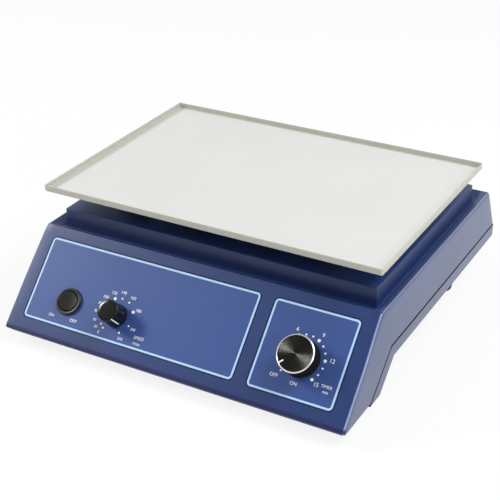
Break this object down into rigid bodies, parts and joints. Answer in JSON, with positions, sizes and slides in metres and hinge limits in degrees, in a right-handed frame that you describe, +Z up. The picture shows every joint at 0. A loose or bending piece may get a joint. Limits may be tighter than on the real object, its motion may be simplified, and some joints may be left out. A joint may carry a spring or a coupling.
{
  "type": "laboratory orbital shaker",
  "caption": "Bench orbital shaker: sloping control panel with dials and a rocker switch, and a shallow tray that circles on belt-driven cranks.",
  "frame": {"origin": "on the floor under the middle of the overall box", "axes": "+Z up, +X to the user's right, +Y to the back; the control panel faces -Y and up"},
  "size_m": [0.3244, 0.327, 0.1185],
  "materials": {
    "housing_blue": "moulded mid blue, fine grain",
    "label_blue": "printed brighter blue label sheet",
    "tray_white": "matt off-white powder coat",
    "black_plastic": "glossy black",
    "black_spun_metal": "black anodised, spun face",
    "rubber": "matt black",
    "steel": "bright zinc-plated or ground",
    "aluminium": "turned or cast",
    "brass": "turned",
    "motor_grey": "dark grey paint",
    "board_green": "green solder mask"
  },
  "bodies": {
    "housing": {"upper_housing": "housing_blue", "lower_housing": "housing_blue", "foot_front_left": "rubber", "foot_front_right": "rubber", "foot_rear_left": "rubber", "foot_rear_right": "rubber", "foot_screw_front_left": "steel", "foot_screw_front_right": "steel", "foot_screw_rear_left": "steel", "foot_screw_rear_right": "steel", "case_screw_front_left": "steel", "case_screw_front_right": "steel", "case_screw_rear_left": "steel", "case_screw_rear_right": "steel", "label_left": "label_blue", "label_right": "label_blue", "power_switch_body": "black_plastic", "speed_potentiometer": "aluminium", "speed_nut": "steel", "timer_mechanism": "aluminium", "timer_nut": "steel", "deck_plate": "steel", "main_bearing_housing": "aluminium", "main_bearing_lower": "steel", "main_bearing_upper": "steel", "drive_motor": "motor_grey", "motor_bracket": "steel", "drive_belt": "rubber", "idler_bearing_unit_front_left": "aluminium", "idler_bearing_unit_front_right": "aluminium", "idler_bearing_unit_rear_left": "aluminium", "idler_bearing_unit_rear_right": "aluminium", "control_board": "board_green", "transformer": "motor_grey", "cord_gland": "black_plastic", "cord_gland_nut": "black_plastic", "fuse_holder": "black_plastic", "fuse_cap": "black_plastic"},
    "crank": {"crankshaft": "steel", "counterweight": "brass", "driven_pulley": "aluminium"},
    "tray_assembly": {"tray": "tray_white", "tray_carrier": "steel", "crank_pin_bearing": "steel", "idler_pin_bearing_front_left": "steel", "idler_pin_bearing_front_right": "steel", "idler_pin_bearing_rear_left": "steel", "idler_pin_bearing_rear_right": "steel"},
    "idler_front_left": {"idler_crank_front_left": "steel"},
    "idler_front_right": {"idler_crank_front_right": "steel"},
    "idler_rear_left": {"idler_crank_rear_left": "steel"},
    "idler_rear_right": {"idler_crank_rear_right": "steel"},
    "motor_rotor": {"motor_shaft": "steel", "motor_pulley": "aluminium"},
    "speed_dial": {"speed_knob": "black_plastic", "speed_shaft": "steel"},
    "timer_dial": {"timer_knob": "black_spun_metal", "timer_shaft": "steel"},
    "power_rocker": {"power_switch_rocker": "black_plastic"}
  },
  "joints": [
    {"name": "crank_spin", "type": "hinge", "parent": "housing", "child": "crank", "pos_m": [0, 0.0273, 0.07], "axis": [0, 0, 1], "continuous": true},
    {"name": "tray_orbit", "type": "hinge", "parent": "crank", "child": "tray_assembly", "pos_m": [-0.00199, 0.0175, 0.105], "axis": [0, 0, 1], "continuous": true},
    {"name": "idler_spin_front_left", "type": "hinge", "parent": "housing", "child": "idler_front_left", "pos_m": [-0.105, -0.0347, 0.085], "axis": [0, 0, 1], "continuous": true},
    {"name": "idler_spin_front_right", "type": "hinge", "parent": "housing", "child": "idler_front_right", "pos_m": [0.105, -0.0347, 0.085], "axis": [0, 0, 1], "continuous": true},
    {"name": "idler_spin_rear_left", "type": "hinge", "parent": "housing", "child": "idler_rear_left", "pos_m": [-0.105, 0.0893, 0.085], "axis": [0, 0, 1], "continuous": true},
    {"name": "idler_spin_rear_right", "type": "hinge", "parent": "housing", "child": "idler_rear_right", "pos_m": [0.105, 0.0893, 0.085], "axis": [0, 0, 1], "continuous": true},
    {"name": "motor_spin", "type": "hinge", "parent": "housing", "child": "motor_rotor", "pos_m": [-0.076, 0.032, 0.05], "axis": [0, 0, 1], "continuous": true},
    {"name": "speed_turn", "type": "hinge", "parent": "housing", "child": "speed_dial", "pos_m": [-0.0601, -0.14325, 0.04484], "axis": [0, -0.7108, 0.7034], "range_deg": [-14, 282]},
    {"name": "timer_turn", "type": "hinge", "parent": "housing", "child": "timer_dial", "pos_m": [0.1099, -0.13628, 0.05188], "axis": [0, -0.7108, 0.7034], "range_deg": [-270, 45]},
    {"name": "power_tilt", "type": "hinge", "parent": "housing", "child": "power_rocker", "pos_m": [-0.109, -0.13763, 0.03914], "axis": [0, 0.7034, 0.7108], "range_deg": [-22, 0]}
  ],
  "couplings": [
    {"joint": "tray_orbit", "follows": "crank_spin", "ratio": -1},
    {"joint": "idler_spin_front_left", "follows": "crank_spin", "ratio": 1},
    {"joint": "idler_spin_front_right", "follows": "crank_spin", "ratio": 1},
    {"joint": "idler_spin_rear_left", "follows": "crank_spin", "ratio": 1},
    {"joint": "idler_spin_rear_right", "follows": "crank_spin", "ratio": 1},
    {"joint": "motor_spin", "follows": "crank_spin", "ratio": 3.75}
  ]
}
